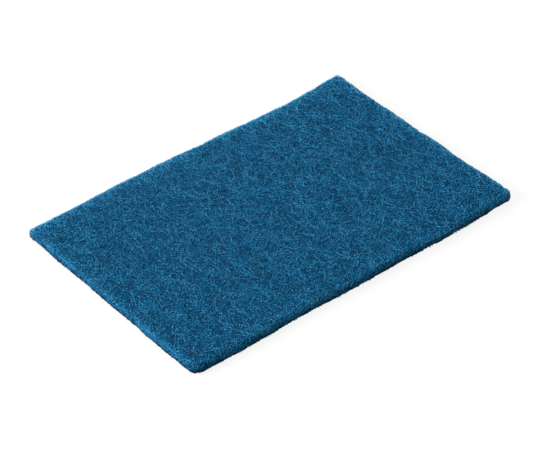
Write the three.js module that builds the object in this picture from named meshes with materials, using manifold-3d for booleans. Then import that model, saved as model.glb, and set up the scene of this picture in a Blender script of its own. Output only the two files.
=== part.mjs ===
// A scouring pad: one rectangular piece of nonwoven web, made of crimped nylon fibres bonded with
// resin, with knife-cut sides. It lies flat. Lengths are in millimetres, +Z is up, +X runs along
// the long sides, and the origin is on the underside, midway between the sides.

import * as THREE from 'three';
import { ImprovedNoise } from 'three/addons/math/ImprovedNoise.js';
import { mergeVertices } from 'three/addons/utils/BufferGeometryUtils.js';
import Module from 'manifold-3d';

// Size of the pad, between the straight lines that the knife was meant to follow
const padLength = 230;
const padWidth = 149.4;
const padThickness = 6;

// Radius of each corner, seen from above: the two in front are worn round, the others still sharp
const frontLeftRadius = 6;
const frontRightRadius = 3.5;
const backLeftRadius = 1;
const backRightRadius = 1;

// The two corners on the right curl up a little: how far, and from how far away
const frontRightCurl = 0.8;
const backRightCurl = 0.6;
const curlReach = 28;

// The upper rim is rolled over by handling, most of all in front and on the left: how far in the
// roll of each side reaches, and how far it drops
const frontRoll = { reach: 4.5, drop: 2.8 };
const leftRoll = { reach: 4, drop: 2.2 };
const backRoll = { reach: 3, drop: 1.3 };
const rightRoll = { reach: 3, drop: 1.3 };

// The lower rim is tucked in: how far, and up to what height
const tuckDepth = 0.6;
const tuckHeight = 1.2;

// The knife wandered along each side, in waves that stand out from the straight line. A crest is a
// place along the side, measured from its middle towards +X or +Y.
const frontWaves = [
  { height: 0.4, length: 70, crest: 65 },
  { height: 0.45, length: 200, crest: 62 },
  { height: 0.4, length: 460, crest: 0 },
];
const backWaves = [
  { height: 0.8, length: 160, crest: -24 },
  { height: 0.2, length: 105, crest: 26 },
  { height: 0.3, length: 460, crest: 0 },
];
const leftWaves = [{ height: 0.2, length: 42, crest: 41 }];
const rightWaves = [{ height: 0.35, length: 40, crest: 27 }];

// The back right corner was pulled towards +Y as the sheet was cut: how far, and from what distance
const cornerPull = 1.1;
const pullReach = 60;

// Loft of the web: height and spacing of its tufts, and of the broad swells under them
const tuftHeight = 0.4;
const tuftSpacing = 8;
const swellHeight = 0.3;
const swellSpacing = 45;

// Fraying of the cut sides: depth and spacing of the nicks
const frayDepth = 0.4;
const fraySpacing = 6;

// Grid over the pad: its spacing, the width of the closer band along each side, the cells in that
// band and how strongly they crowd towards the side
const gridSpacing = 4.2;
const bandWidth = 7;
const bandCells = 5;
const bandCrowding = 1.6;

// The blank hangs this far below the underside before it is trimmed flat
const trimAllowance = 1;

// Colour and surface of the dyed, resin-bonded nylon
const padColour = '#19567c';
const padRoughness = 0.85;

const noise = new ImprovedNoise();

// Places of the grid lines across one span, closer together at its two ends, where the rim rolls
// over and the corners turn
function gridLines(span) {
  const half = span / 2;
  const ends = [];
  for (let i = 0; i < bandCells; i += 1) {
    ends.push(half - bandWidth * (i / bandCells) ** bandCrowding);
  }
  const inner = span - 2 * bandWidth;
  const cells = Math.round(inner / gridSpacing);
  const middle = [];
  for (let i = 0; i <= cells; i += 1) {
    middle.push((inner * i) / cells - inner / 2);
  }
  return [...ends.map((place) => -place), ...middle, ...ends.reverse()];
}

// How far a cut side stands out from its straight line, at a place along it
function waveAt(waves, along) {
  const heights = waves.map(
    ({ height, length, crest }) => height * Math.cos((2 * Math.PI * (along - crest)) / length),
  );
  return heights.reduce((total, height) => total + height, 0);
}

// 1 at one of the two corners on the right, falling smoothly to 0 at the reach from it
function nearCorner(x, y, cornerY, reach) {
  const away = Math.hypot(padLength / 2 - x, cornerY - y);
  return 1 - THREE.MathUtils.smoothstep(away, 0, reach);
}

// How far the web has curled up at a place
function curlAt(x, y) {
  const front = frontRightCurl * nearCorner(x, y, -padWidth / 2, curlReach);
  const back = backRightCurl * nearCorner(x, y, padWidth / 2, curlReach);
  return front + back;
}

// The corner radius of the quarter of the pad that a point is in
function radiusAt(x, y) {
  if (y < 0) {
    return x < 0 ? frontLeftRadius : frontRightRadius;
  }
  return x < 0 ? backLeftRadius : backRightRadius;
}

// Bends the grid's square corner round: the square of the radius's size becomes a quarter disc
function roundedPlace(x, y) {
  const radius = radiusAt(x, y);
  const across = Math.max(0, Math.abs(x) - (padLength / 2 - radius)) / radius;
  const up = Math.max(0, Math.abs(y) - (padWidth / 2 - radius)) / radius;
  const inX = radius * across * (1 - Math.sqrt(1 - (up * up) / 2));
  const inY = radius * up * (1 - Math.sqrt(1 - (across * across) / 2));
  return new THREE.Vector2(x - Math.sign(x) * inX, y - Math.sign(y) * inY);
}

// How far a point of the grid is from the nearest side
function fromSide(x, y) {
  return Math.min(padLength / 2 - Math.abs(x), padWidth / 2 - Math.abs(y));
}

// How far the roll of one side has dropped the upper face, at a distance from that side
function dropOf(roll, distance) {
  const rolled = Math.max(0, 1 - distance / roll.reach);
  return roll.drop * (1 - Math.sqrt(1 - rolled * rolled));
}

// Height of the upper face: loft, less what the rolled rims have dropped
function topHeight(x, y) {
  const tuft = tuftHeight * noise.noise(x / tuftSpacing, y / tuftSpacing, 0);
  const swell = swellHeight * noise.noise(x / swellSpacing, y / swellSpacing, 1.5);
  const drop = Math.max(
    dropOf(frontRoll, padWidth / 2 + y),
    dropOf(leftRoll, padLength / 2 + x),
    dropOf(backRoll, padWidth / 2 - y),
    dropOf(rightRoll, padLength / 2 - x),
  );
  return padThickness + tuft + swell - drop;
}

// Moves a point of the grid sideways, in or out of the pad: the waves of the cut, the pulled corner,
// and on the sides themselves the tuck at the foot and the fraying
function sidewaysPlace(x, y, z) {
  const place = roundedPlace(x, y);
  const outX = x / (padLength / 2);
  const outY = y / (padWidth / 2);
  place.x += outX * waveAt(outX < 0 ? leftWaves : rightWaves, y);
  place.y += outY * waveAt(outY < 0 ? frontWaves : backWaves, x);
  place.y += cornerPull * nearCorner(x, y, padWidth / 2, pullReach);
  if (fromSide(x, y) === 0) {
    const fray = frayDepth * noise.noise(x / fraySpacing, y / fraySpacing, z / fraySpacing);
    const tuck = tuckDepth * Math.max(0, 1 - z / tuckHeight);
    const outward = new THREE.Vector2(Math.trunc(outX), Math.trunc(outY)).normalize();
    place.addScaledVector(outward, fray - tuck);
  }
  return place;
}

// The blank: a box of cells whose grid lines are laid over the pad, then lofted, rolled and bent
function padBlank() {
  const linesX = gridLines(padLength);
  const linesY = gridLines(padWidth);
  const [cellsX, cellsY] = [linesX.length - 1, linesY.length - 1];
  const cellsZ = 3;
  const blank = new THREE.BoxGeometry(cellsX, cellsY, cellsZ, cellsX, cellsY, cellsZ);
  const position = blank.getAttribute('position');
  for (let i = 0; i < position.count; i += 1) {
    const x = linesX[Math.round(position.getX(i) + cellsX / 2)];
    const y = linesY[Math.round(position.getY(i) + cellsY / 2)];
    const top = topHeight(x, y);
    const levels = [-trimAllowance, tuckHeight, (tuckHeight + top) / 2, top];
    const z = levels[Math.round(position.getZ(i) + cellsZ / 2)];
    const place = sidewaysPlace(x, y, z);
    position.setXYZ(i, place.x, place.y, z + curlAt(x, y));
  }
  return blank;
}

// A closed geometry as a solid that can be cut
function solidOf(geometry, wasm) {
  const bare = geometry.clone();
  bare.deleteAttribute('normal');
  bare.deleteAttribute('uv');
  const merged = mergeVertices(bare);
  const vertProperties = Float32Array.from(merged.getAttribute('position').array);
  const triVerts = Uint32Array.from(merged.getIndex().array);
  return new wasm.Manifold(new wasm.Mesh({ numProp: 3, vertProperties, triVerts }));
}

// A cut solid as a geometry again
function geometryOf(solid) {
  const { vertProperties, triVerts } = solid.getMesh();
  const geometry = new THREE.BufferGeometry();
  geometry.setAttribute('position', new THREE.BufferAttribute(vertProperties, 3));
  geometry.setIndex(new THREE.BufferAttribute(triVerts, 1));
  geometry.computeVertexNormals();
  return geometry;
}

// The pad: the blank trimmed flat underneath
function padGeometry(wasm) {
  const below = new THREE.BoxGeometry(2 * padLength, 2 * padWidth, 2 * trimAllowance);
  below.translate(0, 0, -trimAllowance);
  return geometryOf(solidOf(padBlank(), wasm).subtract(solidOf(below, wasm)));
}

const wasm = await Module();
wasm.setup();

const nonwovenNylon = new THREE.MeshStandardMaterial({
  color: padColour,
  roughness: padRoughness,
  metalness: 0,
});

const pad = new THREE.Mesh(padGeometry(wasm), nonwovenNylon);
pad.name = 'scouring_pad';

const group = new THREE.Group();
group.add(pad);

export default group;
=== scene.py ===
"""Looks of a nylon scouring pad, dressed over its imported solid.

The real pad is a nonwoven web: crimped nylon staple laid at random, sprayed with a blue resin that
bonds the crossings, and cut to size with a knife. Here it is a matted body with separate crimped
fibres over its faces, its rolled rims and its cut sides, and short cut ends that stand proud.
Lengths are in millimetres until a mesh is written, which is in metres.
"""

import logging
import math
from dataclasses import dataclass, field
from enum import Enum
from typing import Any

import bmesh
import bpy
import numpy as np
from mathutils import Matrix, Vector, noise
from mathutils.bvhtree import BVHTree


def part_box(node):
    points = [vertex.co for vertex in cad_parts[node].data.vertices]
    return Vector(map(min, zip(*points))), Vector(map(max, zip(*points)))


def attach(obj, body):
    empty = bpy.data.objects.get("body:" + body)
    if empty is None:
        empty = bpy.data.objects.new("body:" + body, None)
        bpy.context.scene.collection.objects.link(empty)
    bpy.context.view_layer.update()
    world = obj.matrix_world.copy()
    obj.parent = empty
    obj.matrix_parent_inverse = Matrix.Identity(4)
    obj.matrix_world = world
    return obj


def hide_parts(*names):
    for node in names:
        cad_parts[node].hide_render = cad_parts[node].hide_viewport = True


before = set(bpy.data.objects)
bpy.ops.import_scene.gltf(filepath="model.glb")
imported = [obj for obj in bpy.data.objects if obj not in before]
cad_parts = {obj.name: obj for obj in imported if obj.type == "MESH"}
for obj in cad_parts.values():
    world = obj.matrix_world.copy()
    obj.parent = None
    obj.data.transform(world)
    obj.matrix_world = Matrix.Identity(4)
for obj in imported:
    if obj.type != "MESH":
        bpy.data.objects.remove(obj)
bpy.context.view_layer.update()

LOG = logging.getLogger("scouring_pad")
NODE = "scouring_pad"
BODY = "root"
MM = 0.001
UP = np.array([0.0, 0.0, 1.0])

# How much the length and the swing of the crimp vary from fibre to fibre, as shares of their means
CRIMP_RANGE = (0.7, 1.4)
SWING_RANGE = (0.5, 1.3)


def linear(colour: str) -> tuple[float, float, float, float]:
    """Turns an sRGB hex colour into linear light.

    Args:
        colour: The colour as "#rrggbb".

    Returns:
        Linear red, green and blue, and an alpha of 1.
    """
    channels = []
    for start in (1, 3, 5):
        value = int(colour[start:start + 2], 16) / 255
        channels.append(value / 12.92 if value <= 0.04045 else ((value + 0.055) / 1.055) ** 2.4)
    return channels[0], channels[1], channels[2], 1.0


def add_node(tree: bpy.types.NodeTree, kind: str, inputs: dict[Any, Any] | None = None,
             **settings: Any) -> bpy.types.Node:
    """Adds a node with its settings and links.

    Args:
        tree: The node tree that the node is added to.
        kind: Blender's type name of the node.
        inputs: Values for its input sockets, by name or number. A socket is linked.
        settings: Values for its properties.

    Returns:
        The new node.
    """
    node = tree.nodes.new(kind)
    for name, value in settings.items():
        setattr(node, name, value)
    for name, value in (inputs or {}).items():
        if isinstance(value, bpy.types.NodeSocket):
            tree.links.new(value, node.inputs[name])
        else:
            node.inputs[name].default_value = value
    return node


def new_material(name: str) -> tuple[bpy.types.Material, bpy.types.NodeTree]:
    """Makes an empty node material.

    Args:
        name: Its name.

    Returns:
        The material and its node tree, without nodes.
    """
    material = bpy.data.materials.new(name)
    material.use_nodes = True
    material.node_tree.nodes.clear()
    return material, material.node_tree


def set_ramp(node: bpy.types.Node, stops: list[tuple[float, str]]) -> None:
    """Sets the stops of a colour ramp.

    Args:
        node: The colour ramp.
        stops: Place and sRGB hex colour of each stop, in order.
    """
    elements = node.color_ramp.elements
    while len(elements) < len(stops):
        elements.new(1.0)
    for element, (place, colour) in zip(elements, stops):
        element.position = place
        element.color = linear(colour)


@dataclass(frozen=True)
class ResinBondedFibre:
    """Crimped nylon staple, dyed blue and coated with bonding resin by spraying.

    The resin dries to a satin skin, so each fibre catches a soft line of light. It takes the dye
    unevenly, which is what makes single fibres stand out paler or darker than their neighbours.
    """

    name: str = "resin_bonded_nylon_fibre"
    # Darkest colour: painted shade at the foot and in the deepest pits
    darkest_shade: str = "#020f1a"
    deep: str = "#03446b"
    middle: str = "#0d74a8"
    pale: str = "#4fadd8"
    deep_stop: float = 0.25
    middle_stop: float = 0.6
    resin_spot_mm: float = 0.9
    resin_share: float = 0.9
    roughness: float = 0.6
    roughness_swing: float = 0.12
    resin_gloss: float = 0.07
    nylon_ior: float = 1.53

    def make(self) -> bpy.types.Material:
        """Builds the material from the attribute "tone": fibre tone plus painted light and shade.
        """
        material, tree = new_material(self.name)
        tone = add_node(tree, "ShaderNodeAttribute", attribute_name="tone")
        place = add_node(tree, "ShaderNodeTexCoord")
        spots = add_node(tree, "ShaderNodeTexNoise", {
            "Vector": place.outputs["Object"],
            "Scale": 1 / (self.resin_spot_mm * MM),
            "Detail": 1.0,
        })
        uneven = add_node(tree, "ShaderNodeMath", {
            0: spots.outputs["Fac"], 1: self.resin_share, 2: tone.outputs["Fac"],
        }, operation="MULTIPLY_ADD")
        centred = add_node(tree, "ShaderNodeMath", {
            0: uneven.outputs[0], 1: self.resin_share / 2,
        }, operation="SUBTRACT", use_clamp=True)
        ramp = add_node(tree, "ShaderNodeValToRGB", {"Fac": centred.outputs[0]})
        set_ramp(ramp, [(0.0, self.darkest_shade), (self.deep_stop, self.deep),
                        (self.middle_stop, self.middle), (1.0, self.pale)])
        roughness = add_node(tree, "ShaderNodeMapRange", {
            "Value": spots.outputs["Fac"],
            "To Min": self.roughness - self.roughness_swing,
            "To Max": self.roughness + self.roughness_swing,
        })
        surface = add_node(tree, "ShaderNodeBsdfPrincipled", {
            "Base Color": ramp.outputs["Color"],
            "Roughness": roughness.outputs["Result"],
            "IOR": self.nylon_ior,
            "Specular IOR Level": self.resin_gloss,
        })
        add_node(tree, "ShaderNodeOutputMaterial", {"Surface": surface.outputs["BSDF"]})
        return material


@dataclass(frozen=True)
class MattedWeb:
    """The same fibres seen deep between the top ones, matted and clogged with resin.

    Little light reaches them, and their colour is darkened with painted shade for it, so the
    ground reads as the dark blue of the pores. Layers of fine curling fibres cross over it, as
    thin as they are in the real web, which is too fine for mesh; the lower a layer lies, the
    darker it is painted. The attribute "tone" makes it paler at the rims, partly for wear and
    partly as painted rim light, and darker at the foot, as painted contact shadow.
    """

    name: str = "matted_nylon_web"
    # Darkest colour: painted contact shadow at the foot
    darkest_shade: str = "#020f1a"
    # Painted shade: the dark ground between the curling fibres
    pore_shade: str = "#022e49"
    mat: str = "#095a8d"
    bright: str = "#1e8cbc"
    pore_shade_stop: float = 0.3
    mat_stop: float = 0.72
    curl_mm: tuple[float, ...] = (0.8, 1.1, 1.5)
    curl_width: float = 0.055
    curl_twist: float = 0.8
    layer_gap_mm: float = 37.0
    roughness: float = 0.7
    resin_gloss: float = 0.05
    relief_mm: float = 0.18
    nylon_ior: float = 1.53

    def make(self) -> bpy.types.Material:
        """Builds the material: each layer of fibres follows the level lines of a smooth noise."""
        material, tree = new_material(self.name)
        place = add_node(tree, "ShaderNodeTexCoord")
        height = None
        for layer, curl in enumerate(self.curl_mm):
            fibre = self._layer(tree, place.outputs["Object"], layer, curl)
            height = fibre if height is None else add_node(tree, "ShaderNodeMath", {
                0: height, 1: fibre,
            }, operation="MAXIMUM").outputs[0]
        tone = add_node(tree, "ShaderNodeAttribute", attribute_name="tone")
        clean = add_node(tree, "ShaderNodeMapRange", {"Value": height, "To Min": self.pore_shade_stop})
        toned = add_node(tree, "ShaderNodeMath", {
            0: clean.outputs["Result"], 1: tone.outputs["Fac"],
        }, operation="ADD", use_clamp=True)
        ramp = add_node(tree, "ShaderNodeValToRGB", {"Fac": toned.outputs[0]})
        set_ramp(ramp, [(0.0, self.darkest_shade), (self.pore_shade_stop, self.pore_shade),
                        (self.mat_stop, self.mat), (1.0, self.bright)])
        bump = add_node(tree, "ShaderNodeBump", {
            "Height": height, "Distance": self.relief_mm * MM,
        })
        surface = add_node(tree, "ShaderNodeBsdfPrincipled", {
            "Base Color": ramp.outputs["Color"],
            "Roughness": self.roughness,
            "IOR": self.nylon_ior,
            "Specular IOR Level": self.resin_gloss,
            "Normal": bump.outputs["Normal"],
        })
        add_node(tree, "ShaderNodeOutputMaterial", {"Surface": surface.outputs["BSDF"]})
        return material

    def _layer(self, tree: bpy.types.NodeTree, place: bpy.types.NodeSocket, layer: int,
               curl: float) -> bpy.types.NodeSocket:
        """One layer of fibres.

        Args:
            tree: The material's node tree.
            place: Place in the object.
            layer: Number of the layer, counted from the lowest one.
            curl: Size of its curls, in millimetres.

        Returns:
            Its height: 1 along the fibres, falling to 0 beside them.
        """
        apart = layer * self.layer_gap_mm * MM
        moved = add_node(tree, "ShaderNodeVectorMath", {
            0: place, 1: (apart, -apart, apart),
        }, operation="ADD")
        noise_field = add_node(tree, "ShaderNodeTexNoise", {
            "Vector": moved.outputs[0],
            "Scale": 1 / (curl * MM),
            "Detail": 0.0,
            "Distortion": self.curl_twist,
        })
        off_line = add_node(tree, "ShaderNodeMath", {
            0: noise_field.outputs["Fac"], 1: 0.5,
        }, operation="SUBTRACT")
        away = add_node(tree, "ShaderNodeMath", {0: off_line.outputs[0]}, operation="ABSOLUTE")
        # Lower layers peak lower on the ramp, so they are darker: painted shade with depth
        top = (layer + 2) / (len(self.curl_mm) + 1)
        line = add_node(tree, "ShaderNodeMapRange", {
            "Value": away.outputs[0],
            "From Min": 0.0,
            "From Max": self.curl_width,
            "To Min": top,
            "To Max": 0.0,
        }, interpolation_type="SMOOTHSTEP")
        return line.outputs["Result"]


@dataclass(frozen=True)
class StudioPaper:
    """Plain white background paper, which the camera sees white and which keeps a soft shadow."""

    name: str = "studio_paper"
    seen: str = "#ffffff"
    bounced: str = "#909090"
    shadow_share: float = 0.14

    def make(self) -> bpy.types.Material:
        """Builds the material: white to the camera and in reflections, grey to bounced light."""
        material, tree = new_material(self.name)
        path = add_node(tree, "ShaderNodeLightPath")
        direct = add_node(tree, "ShaderNodeMath", {
            0: path.outputs["Is Camera Ray"], 1: path.outputs["Is Glossy Ray"],
        }, operation="MAXIMUM")
        shown = add_node(tree, "ShaderNodeMath", {
            0: direct.outputs[0], 1: path.outputs["Is Transmission Ray"],
        }, operation="MAXIMUM")
        glow = add_node(tree, "ShaderNodeEmission", {"Color": linear(self.seen)})
        paper = add_node(tree, "ShaderNodeBsdfDiffuse", {"Color": linear(self.seen)})
        grey = add_node(tree, "ShaderNodeBsdfDiffuse", {"Color": linear(self.bounced)})
        white = add_node(tree, "ShaderNodeMixShader", {
            0: self.shadow_share, 1: glow.outputs[0], 2: paper.outputs[0],
        })
        surface = add_node(tree, "ShaderNodeMixShader", {
            0: shown.outputs[0], 1: grey.outputs[0], 2: white.outputs[0],
        })
        add_node(tree, "ShaderNodeOutputMaterial", {"Surface": surface.outputs[0]})
        return material


def held(values: np.ndarray) -> np.ndarray:
    """Fills the gaps in a row or grid of readings from their neighbours.

    Args:
        values: Readings, with nan where there is none.

    Returns:
        The readings, with each gap holding the mean of the readings next to it.
    """
    values = values.copy()
    while np.isnan(values).any():
        total, count = np.zeros(values.shape), np.zeros(values.shape)
        for axis in range(values.ndim):
            for step in (-1, 1):
                beside = np.roll(values, step, axis)
                edge = [slice(None)] * values.ndim
                edge[axis] = 0 if step == 1 else -1
                beside[tuple(edge)] = np.nan
                count += ~np.isnan(beside)
                total += np.nan_to_num(beside)
        gaps = np.isnan(values) & (count > 0)
        values[gaps] = total[gaps] / count[gaps]
    return values


class PadForm:
    """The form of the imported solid: its upper face, its outline and its nearest surface."""

    pitch = 1.0
    grid_overlap = 2.0
    grid_stop = 1.001
    ray_clearance = 10.0
    outline_pitch = 0.5
    outline_smoothing = 3
    rays_round = 3600

    def __init__(self, node: bpy.types.Object) -> None:
        """Reads the form off the solid.

        Args:
            node: The pad's CAD node.
        """
        corners = [vertex.co / MM for vertex in node.data.vertices]
        self.tree = BVHTree.FromPolygons(corners, [face.vertices for face in node.data.polygons])
        low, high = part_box(NODE)
        self.low, self.high = np.array(low) / MM, np.array(high) / MM
        self.middle = (self.low + self.high) / 2
        start, stop = self.low - self.grid_overlap, self.high + self.grid_overlap
        self.xs = np.arange(start[0], stop[0], self.pitch)
        self.ys = np.arange(start[1], stop[1], self.pitch)
        self.heights = self._read_heights()
        self.right, self.left = self._read_sides(self.ys, along_y=True)
        self.back, self.front = self._read_sides(self.xs, along_y=False)
        self.outline, self.outward = self._read_outline()
        self.girth = len(self.outline) * self.outline_pitch

    def _hit(self, start: tuple, direction: tuple) -> Vector | None:
        """First point of the solid's surface on a ray."""
        return self.tree.ray_cast(Vector(start), Vector(direction))[0]

    def _read_heights(self) -> np.ndarray:
        """Height of the upper face on a grid, held past the sides."""
        above = self.high[2] + self.ray_clearance
        grid = np.full((len(self.xs), len(self.ys)), np.nan)
        for i, x in enumerate(self.xs):
            for j, y in enumerate(self.ys):
                hit = self._hit((x, y, above), (0, 0, -1))
                if hit is not None:
                    grid[i, j] = hit.z
        return held(grid)

    def _read_sides(self, places: np.ndarray, along_y: bool) -> tuple[np.ndarray, np.ndarray]:
        """Where the two sides lie at places along them, at half height.

        Args:
            places: Places along the sides.
            along_y: Whether the sides run along Y, as the left and right ones do.

        Returns:
            The side towards the positive axis and the one towards the negative axis.
        """
        sides = []
        for sign in (1, -1):
            row = []
            for place in places:
                start = (self.middle[0], place) if along_y else (place, self.middle[1])
                way = (sign, 0, 0) if along_y else (0, sign, 0)
                hit = self._hit((*start, self.middle[2]), way)
                row.append(np.nan if hit is None else hit[0 if along_y else 1])
            sides.append(held(np.array(row)))
        return sides[0], sides[1]

    def _read_outline(self) -> tuple[np.ndarray, np.ndarray]:
        """The outline at half height as evenly spaced points, and its outward directions."""
        corners = []
        for turn in np.linspace(0, 2 * math.pi, self.rays_round, endpoint=False):
            hit = self._hit(tuple(self.middle), (math.cos(turn), math.sin(turn), 0))
            corners.append((hit.x, hit.y))
        ring = np.array(corners + corners[:1])
        run = np.concatenate([[0], np.cumsum(np.linalg.norm(np.diff(ring, axis=0), axis=1))])
        count = int(run[-1] / self.outline_pitch)
        along = np.linspace(0, run[-1], count, endpoint=False)
        points = np.stack([np.interp(along, run, ring[:, axis]) for axis in (0, 1)], axis=1)
        step = self.outline_smoothing
        ahead = np.roll(points, -step, axis=0) - np.roll(points, step, axis=0)
        ahead /= np.linalg.norm(ahead, axis=1, keepdims=True)
        return points, np.stack([ahead[:, 1], -ahead[:, 0]], axis=1)

    def top(self, x: np.ndarray, y: np.ndarray) -> np.ndarray:
        """Height of the upper face.

        Args:
            x: Places along X.
            y: Places along Y.

        Returns:
            Heights, held past the sides.
        """
        u = np.clip((x - self.xs[0]) / self.pitch, 0, len(self.xs) - self.grid_stop)
        v = np.clip((y - self.ys[0]) / self.pitch, 0, len(self.ys) - self.grid_stop)
        i, j = u.astype(int), v.astype(int)
        u, v = u - i, v - j
        low = self.heights[i, j] * (1 - u) + self.heights[i + 1, j] * u
        high = self.heights[i, j + 1] * (1 - u) + self.heights[i + 1, j + 1] * u
        return low * (1 - v) + high * v

    def margins(self, x: np.ndarray, y: np.ndarray) -> np.ndarray:
        """Distances to the four sides, along X or Y, less than 0 outside them.

        Args:
            x: Places along X.
            y: Places along Y.

        Returns:
            Distances to the left, right, front and back sides, one after the other.
        """
        return np.stack([
            x - np.interp(y, self.ys, self.left),
            np.interp(y, self.ys, self.right) - x,
            y - np.interp(x, self.xs, self.front),
            np.interp(x, self.xs, self.back) - y,
        ])

    def margin(self, x: np.ndarray, y: np.ndarray) -> np.ndarray:
        """Distance to the nearest side at each place, less than 0 outside the outline."""
        return self.margins(x, y).min(axis=0)

    def at_rim(self, along: np.ndarray) -> tuple[np.ndarray, np.ndarray]:
        """Points of the outline.

        Args:
            along: Distances round the pad.

        Returns:
            The points and their outward directions, as rows of x and y.
        """
        index = (np.floor(along / self.outline_pitch)).astype(int)
        share = (along / self.outline_pitch - index)[..., None]
        index, after = index % len(self.outline), (index + 1) % len(self.outline)
        points = self.outline[index] * (1 - share) + self.outline[after] * share
        return points, self.outward[index]

    def snapped(self, points: np.ndarray) -> tuple[np.ndarray, np.ndarray]:
        """Nearest points of the solid's surface.

        Args:
            points: Rows of x, y and z.

        Returns:
            The nearest surface points and the outward directions there.
        """
        found = [self.tree.find_nearest(Vector(point)) for point in points]
        return np.array([hit[0] for hit in found]), np.array([hit[1] for hit in found])


def ripple(x: np.ndarray, y: np.ndarray, spacing: float, seed: int) -> np.ndarray:
    """A smooth random relief over the pad, the same for all the pieces that use its seed.

    Args:
        x: Places along X.
        y: Places along Y.
        spacing: Distance from crest to crest, on average.
        seed: Seed of the random directions.

    Returns:
        Heights from about -1 to 1.
    """
    waves, shortest, longest = 36, 0.75, 1.35
    rng = np.random.default_rng(seed)
    turns, phases = rng.uniform(0, 2 * math.pi, (2, waves))
    lengths = spacing * rng.uniform(shortest, longest, waves)
    total = np.zeros(np.shape(x))
    for turn, phase, length in zip(turns, phases, lengths):
        total += np.sin((x * math.cos(turn) + y * math.sin(turn)) * 2 * math.pi / length + phase)
    return total / math.sqrt(2 * waves)


@dataclass(frozen=True)
class RimTone:
    """Changes of tone at the rims and at the foot, partly wear and partly painted light and shade.

    The upper rims are paler, each by its own amount and more so towards the top: partly where
    handling has worn the resin off, and partly as painted rim light, strongest at the back.
    At the foot the colour is darker, on the sides and for a narrow strip of the underside:
    painted contact shadow along the line where the web meets the table.
    """

    # Paleness of each side's upper rim: partly wear, partly painted rim light, most at the back
    pale_left: float = 0.2
    pale_right: float = 0.4
    pale_front: float = 0.2
    pale_back: float = 1.0
    pale_reach: float = 3.2
    pale_from: float = 1.8
    pale_full: float = 5.0
    # Painted contact shadow at the foot: how much darker, how high and how far in
    dark: float = 1.5
    foot_shadow_height: float = 2.4
    foot_shadow_inset: float = 0.7
    foot_shadow_fade: float = 0.6

    def shift(self, form: PadForm, points: np.ndarray) -> np.ndarray:
        """Change of tone.

        Args:
            form: The pad's form.
            points: Places, with x, y and z last.

        Returns:
            The change at each place: more than 0 where it is paler.
        """
        x, y, z = np.moveaxis(points, -1, 0)
        margins = np.maximum(form.margins(x, y), 0)
        # Paler upper rims: partly wear and partly painted rim light, growing towards the top
        shares = (self.pale_left, self.pale_right, self.pale_front, self.pale_back)
        near = [share * np.exp(-margin / self.pale_reach)
                for share, margin in zip(shares, margins)]
        upper_rim_share = np.clip((z - self.pale_from) / (self.pale_full - self.pale_from), 0, 1)
        # Painted contact shadow: darker near the table, close to the outline
        low = np.clip(1 - z / self.foot_shadow_height, 0, 1)
        low *= np.clip(1 - (margins.min(axis=0) - self.foot_shadow_inset) / self.foot_shadow_fade, 0, 1)
        return np.max(near, axis=0) * upper_rim_share - self.dark * low


@dataclass
class Strands:
    """Centre lines of fibres, laid end to end in one list of points."""

    points: np.ndarray
    facing: np.ndarray
    lengths: np.ndarray
    tones: np.ndarray

    @classmethod
    def cut(cls, points: np.ndarray, facing: np.ndarray, keep: np.ndarray, tones: np.ndarray,
            shortest: int = 3) -> "Strands":
        """Keeps the stretches of the fibres that lie within the pad.

        Args:
            points: Points of each fibre, by fibre and place along it.
            facing: Direction out of the pad at each point.
            keep: Whether each point lies within the pad.
            tones: Tone of each point.
            shortest: Fewest points that a stretch may have.

        Returns:
            The stretches, each as a fibre of its own.
        """
        fenced = np.pad(keep, ((0, 0), (1, 1)))
        change = np.diff(fenced.astype(int), axis=1)
        rows, starts = np.nonzero(change == 1)
        ends = np.nonzero(change == -1)[1]
        long_enough = ends - starts >= shortest
        rows, starts, ends = rows[long_enough], starts[long_enough], ends[long_enough]
        lengths = ends - starts
        first = np.repeat(rows * keep.shape[1] + starts, lengths)
        picked = first + within_runs(lengths)
        return cls(points.reshape(-1, 3)[picked], facing.reshape(-1, 3)[picked], lengths,
                   tones.reshape(-1)[picked])


def within_runs(lengths: np.ndarray) -> np.ndarray:
    """Place of each point within its own run: 0, 1, 2 and on, again for each run."""
    return np.arange(lengths.sum()) - np.repeat(np.cumsum(lengths) - lengths, lengths)


def scattered(rng: np.random.Generator, low: np.ndarray, high: np.ndarray,
              count: int) -> np.ndarray:
    """Scatters points evenly over a rectangle: one at random in each cell of a grid.

    Args:
        rng: Source of the random numbers.
        low: Lowest corner of the rectangle.
        high: Highest corner of the rectangle.
        count: Number of points, about.

    Returns:
        The points in random order, as rows of two.
    """
    span = high - low
    cell = math.sqrt(span[0] * span[1] / count)
    across, up = (max(1, round(side / cell)) for side in span)
    grid = np.stack(np.meshgrid(np.arange(across), np.arange(up)), axis=-1).reshape(-1, 2)
    points = low + (grid + rng.uniform(0, 1, grid.shape)) * span / (across, up)
    return rng.permutation(points)


def crimped_paths(rng: np.random.Generator, starts: np.ndarray, steps: int, step: float,
                  crimp: float, swing: float, wander: float) -> np.ndarray:
    """Lays crimped fibres on a flat sheet.

    Args:
        rng: Source of the random numbers.
        starts: First point of each fibre, as rows of two.
        steps: Points in each fibre.
        step: Distance between points.
        crimp: Length of one full crimp, on average.
        swing: How far the crimp turns the fibre to each side, in radians.
        wander: How far the fibre's own direction drifts at each point, in radians.

    Returns:
        Points, by fibre, place along it, and the sheet's two directions.
    """
    count = len(starts)
    along = np.arange(steps) * step
    crimps = crimp * rng.uniform(*CRIMP_RANGE, (count, 1))
    phases = rng.uniform(0, 2 * math.pi, (count, 1))
    swings = swing * rng.uniform(*SWING_RANGE, (count, 1))
    heading = rng.uniform(0, 2 * math.pi, (count, 1))
    drift = np.cumsum(rng.normal(0, wander, (count, steps)), axis=1)
    angle = heading + drift + swings * np.sin(2 * math.pi * along / crimps + phases)
    moves = np.stack([np.cos(angle), np.sin(angle)], axis=2) * step
    return starts[:, None, :] + np.cumsum(moves, axis=1)


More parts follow.
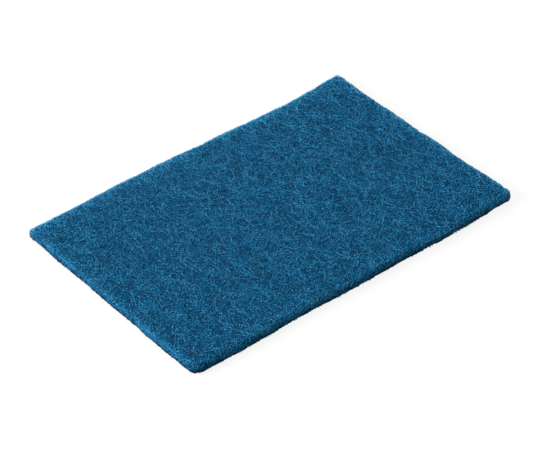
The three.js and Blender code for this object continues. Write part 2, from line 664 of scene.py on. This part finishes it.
class Tubes:
    """Closed three-sided tubes along the centre lines of fibres.

    Each fibre has a cell of its own in the UV map, so that its tone can be baked without
    bleeding into its neighbours.
    """

    sides = 3
    tip_share = 0.7
    cell_share = 0.7
    cap_places = (0.1, 0.5, 0.9)
    shortest_normal = 1e-6

    def __init__(self, strands: Strands, radius: float) -> None:
        """Finds the place of each point in its own fibre.

        Args:
            strands: Centre lines of the fibres.
            radius: Radius of the fibres.
        """
        self.strands = strands
        self.radius = radius
        self.place = within_runs(strands.lengths)
        self.run = np.repeat(np.arange(len(strands.lengths)), strands.lengths)
        self.is_first = self.place == 0
        self.is_last = self.place == strands.lengths[self.run] - 1
        self.cells = math.ceil(math.sqrt(len(strands.lengths)))

    def _vertices(self) -> np.ndarray:
        """The vertices, a ring of them at each point, as rows of x, y and z."""
        points = self.strands.points
        ahead = np.where(self.is_last[:, None], points, np.roll(points, -1, axis=0))
        behind = np.where(self.is_first[:, None], points, np.roll(points, 1, axis=0))
        tangent = ahead - behind
        tangent /= np.linalg.norm(tangent, axis=1, keepdims=True)
        across = np.cross(tangent, self.strands.facing)
        length = np.linalg.norm(across, axis=1, keepdims=True)
        across /= np.maximum(length, self.shortest_normal)
        out = np.cross(across, tangent)
        is_tip = self.is_first | self.is_last
        thick = self.radius * np.where(is_tip, self.tip_share, 1.0)[:, None]
        rings = []
        for side in range(self.sides):
            turn = math.pi / 2 + 2 * math.pi * side / self.sides
            rings.append(points + thick * (math.cos(turn) * across + math.sin(turn) * out))
        return np.stack(rings, axis=1).reshape(-1, 3)

    def _in_cell(self, uv: np.ndarray, points: np.ndarray) -> np.ndarray:
        """Moves corners into their fibre's cell of the UV map.

        Args:
            uv: Places of the corners in the cell, by face and corner.
            points: The point that each face starts from.

        Returns:
            Their places in the whole map.
        """
        run = self.run[points]
        cell = np.stack([run % self.cells, run // self.cells], axis=1)[:, None, :]
        return (cell + (1 - self.cell_share) / 2 + self.cell_share * uv) / self.cells

    def _walls(self) -> tuple[np.ndarray, np.ndarray, np.ndarray]:
        """The faces between the rings, their corners in the UV map and their points."""
        here = np.nonzero(~self.is_last)[0]
        ring, ring_after = here * self.sides, (here + 1) * self.sides
        reach = self.place / np.maximum(self.strands.lengths[self.run] - 1, 1)
        near, far = reach[here], reach[here + 1]
        faces, corners = [], []
        for side in range(self.sides):
            after = (side + 1) % self.sides
            faces.append(np.stack([ring + side, ring + after, ring_after + after,
                                   ring_after + side], axis=1))
            low = np.full(len(here), side / self.sides)
            high = np.full(len(here), (side + 1) / self.sides)
            uv = np.stack([np.stack([near, near, far, far], axis=1),
                           np.stack([low, high, high, low], axis=1)], axis=2)
            corners.append(self._in_cell(uv, here))
        return np.concatenate(faces), np.concatenate(corners), np.tile(here, self.sides)

    def _caps(self) -> tuple[np.ndarray, np.ndarray, np.ndarray]:
        """The faces at the tips, their corners in the UV map and their points."""
        order = np.arange(self.sides)
        first, last = np.nonzero(self.is_first)[0], np.nonzero(self.is_last)[0]
        faces, corners = [], []
        for points, turn, end in ((first, order[::-1], 0.0), (last, order, 1.0)):
            faces.append(points[:, None] * self.sides + turn)
            uv = np.array([(end, place) for place in self.cap_places])
            corners.append(self._in_cell(uv, points))
        return np.concatenate(faces), np.concatenate(corners), np.concatenate([first, last])

    def build(self, name: str, finish: bpy.types.Material) -> bpy.types.Object:
        """Makes the piece, with the tone of the fibres in the face attribute "tone".

        Args:
            name: Name of the piece.
            finish: Material of the fibres.

        Returns:
            The piece, dressed.
        """
        vertices = self._vertices() * MM
        walls, wall_corners, wall_points = self._walls()
        caps, cap_corners, cap_points = self._caps()
        loops = np.concatenate([walls.ravel(), caps.ravel()])
        sizes = np.repeat([walls.shape[1], caps.shape[1]], [len(walls), len(caps)])
        corners = np.concatenate([wall_corners.reshape(-1, 2), cap_corners.reshape(-1, 2)])
        tones = self.strands.tones[np.concatenate([wall_points, cap_points])]
        mesh = bpy.data.meshes.new(name)
        mesh.vertices.add(len(vertices))
        mesh.vertices.foreach_set("co", vertices.astype(np.float32).ravel())
        mesh.loops.add(len(loops))
        mesh.loops.foreach_set("vertex_index", loops.astype(np.int32))
        mesh.polygons.add(len(sizes))
        mesh.polygons.foreach_set("loop_start", (np.cumsum(sizes) - sizes).astype(np.int32))
        mesh.update(calc_edges=True)
        mesh.polygons.foreach_set("use_smooth", np.ones(len(sizes), bool))
        mesh.uv_layers.new(name="OFBake").uv.foreach_set(
            "vector", corners.astype(np.float32).ravel())
        mesh.attributes.new("tone", "FLOAT", "FACE").data.foreach_set(
            "value", tones.astype(np.float32))
        mesh.validate()
        mesh.materials.append(finish)
        piece = bpy.data.objects.new(name, mesh)
        bpy.context.scene.collection.objects.link(piece)
        return piece


class Face(Enum):
    """The two broad faces of the pad, by the way that they look."""

    UPPER = 1
    LOWER = -1


@dataclass
class WebBody:
    """The matted inside of the web, which shows dark between the fibres.

    It is drawn in under the fibres of the broad faces. A value below 0 brings it out instead, so
    that it still fills the cut sides and the foot.
    """

    name: str = "web_body"
    weld: float = 0.001
    voxel: float = 1.3
    face_drawn_in: float = 0.22
    side_drawn_in: float = -0.05
    foot_drawn_in: float = -0.3
    foot_height: float = 1.5
    foot_reach: float = 3.0
    relief: float = 0.15
    relief_spacing: float = 2.4
    tone_share: float = 0.5
    finish: MattedWeb = field(default_factory=MattedWeb)

    def build(self, node: bpy.types.Object, form: PadForm, rims: RimTone) -> bpy.types.Object:
        """Remeshes the solid evenly, fits it under the fibres and gives it a matted relief.

        Args:
            node: The pad's CAD node.
            form: The pad's form.
            rims: Tone of the rims.

        Returns:
            The piece, dressed.
        """
        piece = self._even_mesh(node)
        vertices = piece.data.vertices
        count = len(vertices)
        places, normals = np.empty(count * 3), np.empty(count * 3)
        vertices.foreach_get("co", places)
        piece.data.vertex_normals.foreach_get("vector", normals)
        places, normals = places.reshape(-1, 3) / MM, normals.reshape(-1, 3)
        rough = np.array([noise.noise(Vector(place) / self.relief_spacing) for place in places])
        facing_up = normals[:, 2] ** 2
        drawn_in = self.side_drawn_in + (self.face_drawn_in - self.side_drawn_in) * facing_up
        margin = np.maximum(form.margin(places[:, 0], places[:, 1]), 0)
        low = np.clip(1 - places[:, 2] / self.foot_height, 0, 1)
        foot = low * np.clip(1 - margin / self.foot_reach, 0, 1)
        drawn_in = drawn_in * (1 - foot) + self.foot_drawn_in * foot
        # Paler rims, partly painted rim light, and painted contact shadow at the foot
        tone = self.tone_share * rims.shift(form, places)
        places -= normals * (drawn_in * (1 + self.relief * rough))[:, None]
        places[:, 2] = np.maximum(places[:, 2], 0)
        vertices.foreach_set("co", (places * MM).ravel())
        shade = piece.data.attributes.new("tone", "FLOAT", "POINT")
        shade.data.foreach_set("value", tone.astype(np.float32))
        piece.data.polygons.foreach_set("use_smooth", np.ones(len(piece.data.polygons), bool))
        piece.data.update()
        piece.data.materials.append(self.finish.make())
        return piece

    def _even_mesh(self, node: bpy.types.Object) -> bpy.types.Object:
        """The solid as an evenly spaced closed mesh."""
        welded = bmesh.new()
        welded.from_mesh(node.data)
        bmesh.ops.remove_doubles(welded, verts=welded.verts, dist=self.weld * MM)
        source = bpy.data.meshes.new(self.name)
        welded.to_mesh(source)
        welded.free()
        piece = bpy.data.objects.new(self.name, source)
        bpy.context.scene.collection.objects.link(piece)
        remesh = piece.modifiers.new("even", "REMESH")
        remesh.mode = "VOXEL"
        remesh.voxel_size = self.voxel * MM
        even = piece.evaluated_get(bpy.context.evaluated_depsgraph_get())
        piece.data = bpy.data.meshes.new_from_object(even)
        piece.modifiers.clear()
        piece.data.materials.clear()
        return piece


@dataclass
class FaceFibres:
    """Loose crimped fibres over one broad face, which dive into the web and come up again.

    Their crowns stand a little proud of the solid. A cut margin below 0 lets them end past its
    sides.
    """

    name: str
    face: Face
    seed: int
    count: int
    pieces: int
    steps: int = 24
    step: float = 0.7
    radius: float = 0.17
    crimp: float = 2.4
    swing: float = 1.05
    wander: float = 0.18
    dive: float = 0.5
    dive_level: float = 0.4
    dive_spacing: float = 2.0
    dive_range: tuple[float, float] = (0.7, 1.4)
    crown: float = 0.15
    crown_spacing: float = 1.35
    # How much paler the crowns and darker the pits are drawn: painted light and shade of the
    # relief
    painted_crown_shading: float = 0.46
    proud: float = 0.28
    cut_margin: float = -0.4
    overlay: float = 12.0
    tone: float = 0.58
    tone_spread: float = 0.08

    def build(self, form: PadForm, rims: RimTone,
              finish: bpy.types.Material) -> list[bpy.types.Object]:
        """Lays the fibres over the face and cuts them at the pad's outline.

        Args:
            form: The pad's form.
            rims: Tone of the rims.
            finish: Material of the fibres.

        Returns:
            The pieces, dressed.
        """
        rng = np.random.default_rng(self.seed)
        starts = scattered(rng, form.low[:2] - self.overlay, form.high[:2] + self.overlay,
                           self.count)
        count = len(starts)
        flat = crimped_paths(rng, starts, self.steps, self.step, self.crimp, self.swing,
                             self.wander)
        x, y = flat[..., 0], flat[..., 1]
        along = np.arange(self.steps) * self.step
        spacing = self.dive_spacing * rng.uniform(*self.dive_range, (count, 1))
        phase, base = rng.uniform(0, 1, (2, count, 1))
        weave = 0.5 + 0.5 * np.sin(2 * math.pi * (along / spacing + phase))
        depth = self.dive * (self.dive_level * base + (1 - self.dive_level) * weave)
        surface = form.top(x, y) if self.face is Face.UPPER else np.zeros(x.shape)
        crowns = ripple(x, y, self.crown_spacing, self.seed)
        sunk = depth + self.crown * (1 - crowns) - self.proud
        z = surface - self.face.value * sunk
        points = np.stack([x, y, np.maximum(z, self.radius)], axis=2)
        facing = np.broadcast_to(self.face.value * UP, points.shape)
        own_tone = rng.normal(self.tone, self.tone_spread, (count, 1))
        # Painted light on the crowns and painted shade in the pits, plus the rims' painted light
        # and shade
        tones = np.clip(own_tone + self.painted_crown_shading * crowns + rims.shift(form, points), 0, 1)
        keep = form.margin(x, y) > self.cut_margin
        made = []
        for part in range(self.pieces):
            own = slice(part, None, self.pieces)
            strands = Strands.cut(points[own], facing[own], keep[own], tones[own])
            made.append(Tubes(strands, self.radius).build(f"{self.name}_{part + 1}", finish))
        return made


@dataclass
class EdgeFibres:
    """Fibres that wrap the rolled rim and lie in the cut sides."""

    name: str = "edge_fibres"
    seed: int = 31
    count: int = 2300
    steps: int = 18
    step: float = 0.8
    radius: float = 0.14
    crimp: float = 3.2
    swing: float = 1.1
    wander: float = 0.2
    onto_face: float = 3.0
    dive: float = 0.4
    dive_level: float = 0.4
    dive_spacing: float = 4.0
    proud: float = 0.4
    proud_height: float = 1.5
    tone: float = 0.58
    tone_spread: float = 0.12

    def build(self, form: PadForm, rims: RimTone,
              finish: bpy.types.Material) -> bpy.types.Object:
        """Lays the fibres round the rim and down the sides.

        Args:
            form: The pad's form.
            rims: Tone of the rims.
            finish: Material of the fibres.

        Returns:
            The piece, dressed.
        """
        rng = np.random.default_rng(self.seed)
        height = form.high[2]
        starts = np.stack([rng.uniform(0, form.girth, self.count),
                           rng.uniform(-self.onto_face, height, self.count)], axis=1)
        flat = crimped_paths(rng, starts, self.steps, self.step, self.crimp, self.swing,
                             self.wander)
        down = flat[..., 1]
        rim, outward = form.at_rim(flat[..., 0])
        inward = np.minimum(down, 0)[..., None]
        place = rim + outward * inward
        top = form.top(place[..., 0], place[..., 1])
        z = top - np.maximum(down, 0)
        keep = (z > self.radius) & (down > -self.onto_face)
        raw = np.concatenate([place, z[..., None]], axis=2).reshape(-1, 3)
        points, facing = form.snapped(raw)
        along = np.arange(self.steps) * self.step
        phase, base = rng.uniform(0, 1, (2, self.count, 1))
        weave = 0.5 + 0.5 * np.sin(2 * math.pi * (along / self.dive_spacing + phase))
        depth = self.dive * (self.dive_level * base + (1 - self.dive_level) * weave)
        stand = self.proud * np.clip(points[:, 2:] / self.proud_height, 0, 1)
        points = points - facing * (depth.reshape(-1, 1) - stand)
        points[:, 2] = np.maximum(points[:, 2], self.radius)
        points, facing = points.reshape(*keep.shape, 3), facing.reshape(*keep.shape, 3)
        own_tone = rng.normal(self.tone, self.tone_spread, (self.count, 1))
        # Paler rims, partly painted rim light, and painted contact shadow at the foot
        tones = np.clip(own_tone + rims.shift(form, points), 0, 1)
        strands = Strands.cut(points, facing, keep, tones)
        return Tubes(strands, self.radius).build(self.name, finish)


@dataclass
class CutEnds:
    """Short ends of fibres, cut by the knife, that stand proud of the sides and the rims."""

    name: str = "cut_ends"
    seed: int = 47
    count: int = 3600
    radius: float = 0.13
    onto_face: float = 1.2
    shortest: float = 0.5
    longest: float = 1.2
    proud: float = 0.6
    lean: float = 0.25
    bend: float = 0.15
    upright: float = 0.1
    clear_of_foot: float = 1.2
    tone: float = 0.58
    tone_spread: float = 0.12

    def build(self, form: PadForm, rims: RimTone,
              finish: bpy.types.Material) -> bpy.types.Object:
        """Plants the ends in the sides.

        Args:
            form: The pad's form.
            rims: Tone of the rims.
            finish: Material of the fibres.

        Returns:
            The piece, dressed.
        """
        rng = np.random.default_rng(self.seed)
        rim, outward = form.at_rim(rng.uniform(0, form.girth, self.count))
        down = rng.uniform(-self.onto_face, form.high[2] - self.clear_of_foot, self.count)
        place = rim + outward * np.minimum(down, 0)[:, None]
        z = form.top(place[:, 0], place[:, 1]) - np.maximum(down, 0)
        raw = np.column_stack([place, np.maximum(z, self.radius)])
        roots, facing = form.snapped(raw)
        way = facing + self.lean * rng.normal(0, 1, (self.count, 3))
        way /= np.linalg.norm(way, axis=1, keepdims=True)
        length = rng.uniform(self.shortest, self.longest, (self.count, 1))
        tip = roots + facing * rng.uniform(0, self.proud, (self.count, 1))
        bend = rng.normal(0, self.bend, (self.count, 3))
        behind_tip = np.array([1.0, 0.5, 0.0])[None, :, None]
        points = tip[:, None, :] - way[:, None, :] * length[:, None, :] * behind_tip
        points[:, 1, :] += bend * length
        points[..., 2] = np.clip(points[..., 2], self.radius, form.high[2])
        side = np.cross(way, UP)
        is_upright = np.linalg.norm(side, axis=1, keepdims=True) < self.upright
        side = np.where(is_upright, [1.0, 0.0, 0.0], side)
        across = np.broadcast_to(side[:, None, :], points.shape)
        own_tone = rng.normal(self.tone, self.tone_spread, (self.count, 1))
        # Paler rims, partly painted rim light, and painted contact shadow at the foot
        tones = np.clip(own_tone + rims.shift(form, points), 0, 1)
        strands = Strands.cut(points, across, np.ones(points.shape[:2], bool), tones)
        return Tubes(strands, self.radius).build(self.name, finish)


@dataclass(frozen=True)
class Softbox:
    """A square studio lamp that looks at the middle of the pad."""

    name: str
    azimuth: float
    elevation: float
    distance: float
    size: float
    power: float

    def place(self, target: Vector) -> bpy.types.Object:
        """Hangs the lamp.

        Args:
            target: The point that it looks at, in metres.

        Returns:
            The lamp.
        """
        turn, rise = math.radians(self.azimuth), math.radians(self.elevation)
        way = Vector((math.sin(turn) * math.cos(rise), -math.cos(turn) * math.cos(rise),
                      math.sin(rise)))
        lamp = bpy.data.lights.new(self.name, "AREA")
        lamp.shape = "SQUARE"
        lamp.size = self.size
        lamp.energy = self.power
        holder = bpy.data.objects.new(self.name, lamp)
        holder.location = target + way * self.distance
        holder.rotation_euler = (-way).to_track_quat("-Z", "Y").to_euler()
        bpy.context.scene.collection.objects.link(holder)
        return holder


@dataclass
class Studio:
    """Camera, lamps and paper. An azimuth of 0 looks along +Y, and one of 90 along -X."""

    azimuth: float = -39.8
    elevation: float = 39.0
    distance: float = 1.241
    lens: float = 146.9
    sensor: float = 36.0
    aim_right: float = -0.00161
    aim_up: float = -0.00360
    paper_span: float = 40.0
    paper_gap: float = 0.0001
    sky: float = 0.2
    lamps: tuple[Softbox, ...] = (
        Softbox("key", -114.0, 28.0, 2.0, 0.9, 51.0),
        Softbox("back_fill", 155.0, 26.0, 2.0, 1.2, 24.0),
        Softbox("front_fill", -15.0, 60.0, 2.0, 1.2, 7.0),
    )

    def place_camera(self) -> bpy.types.Object:
        """Sets up the camera at the photograph's angle."""
        turn, rise = math.radians(self.azimuth), math.radians(self.elevation)
        back = Vector((math.sin(turn) * math.cos(rise), -math.cos(turn) * math.cos(rise),
                       math.sin(rise)))
        right = Vector((math.cos(turn), math.sin(turn), 0.0))
        up = back.cross(right)
        lens = bpy.data.cameras.new("camera")
        lens.lens = self.lens
        lens.sensor_width = self.sensor
        lens.clip_end = self.paper_span * 2
        camera = bpy.data.objects.new("camera", lens)
        axes = Matrix((right, up, back)).transposed()
        camera.matrix_world = axes.to_4x4()
        camera.location = back * self.distance + right * self.aim_right + up * self.aim_up
        bpy.context.scene.collection.objects.link(camera)
        bpy.context.scene.camera = camera
        return camera

    def light(self, target: Vector) -> None:
        """Hangs the lamps and lays the paper.

        Args:
            target: Middle of the pad, in metres.
        """
        for lamp in self.lamps:
            lamp.place(target)
        self._lay_paper()
        self._set_sky()
        bpy.context.scene.view_settings.view_transform = "Standard"

    def _lay_paper(self) -> None:
        """Lays the paper just under the pad."""
        half = self.paper_span / 2
        mesh = bpy.data.meshes.new("paper")
        corners = [(-half, -half), (half, -half), (half, half), (-half, half)]
        mesh.from_pydata([(x, y, -self.paper_gap) for x, y in corners], [], [(0, 1, 2, 3)])
        mesh.materials.append(StudioPaper().make())
        paper = bpy.data.objects.new("paper", mesh)
        bpy.context.scene.collection.objects.link(paper)

    def _set_sky(self) -> None:
        """Gives the room its plain weak light, which the camera sees as white."""
        world = bpy.data.worlds.new("room")
        bpy.context.scene.world = world
        world.use_nodes = True
        tree = world.node_tree
        tree.nodes.clear()
        path = add_node(tree, "ShaderNodeLightPath")
        shown = add_node(tree, "ShaderNodeMath", {
            0: path.outputs["Is Camera Ray"], 1: path.outputs["Is Transmission Ray"],
        }, operation="MAXIMUM")
        room = add_node(tree, "ShaderNodeBackground", {"Strength": self.sky})
        white = add_node(tree, "ShaderNodeBackground", {"Strength": 1.0})
        mixed = add_node(tree, "ShaderNodeMixShader", {
            0: shown.outputs[0], 1: room.outputs[0], 2: white.outputs[0],
        })
        for background in (room, white):
            background.inputs["Color"].default_value = (1.0, 1.0, 1.0, 1.0)
        add_node(tree, "ShaderNodeOutputWorld", {"Surface": mixed.outputs[0]})


def hand_over(piece: bpy.types.Object) -> None:
    """Makes a piece part of the pad and reports it.

    Args:
        piece: The finished piece.
    """
    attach(piece, BODY)
    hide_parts(NODE)
    triangles = sum(len(face.vertices) - 2 for face in piece.data.polygons)
    LOG.info("%s: %d triangles", piece.name, triangles)


def main() -> None:
    """Builds the pad and its studio."""
    logging.basicConfig(level=logging.INFO, format="%(name)s: %(message)s")
    studio = Studio()
    studio.place_camera()
    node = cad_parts[NODE]
    form = PadForm(node)
    fibre = ResinBondedFibre().make()
    rims = RimTone()
    body = WebBody().build(node, form, rims)
    pieces = [body]
    pieces += FaceFibres("upper_fibres", Face.UPPER, 11, 5400, 3).build(form, rims, fibre)
    pieces += FaceFibres("lower_fibres", Face.LOWER, 23, 1500, 1, proud=0.0).build(
        form, rims, fibre)
    pieces.append(EdgeFibres().build(form, rims, fibre))
    pieces.append(CutEnds().build(form, rims, fibre))
    for piece in pieces:
        hand_over(piece)
    studio.light(Vector(form.middle * MM))


if __name__ == "__main__":
    main()
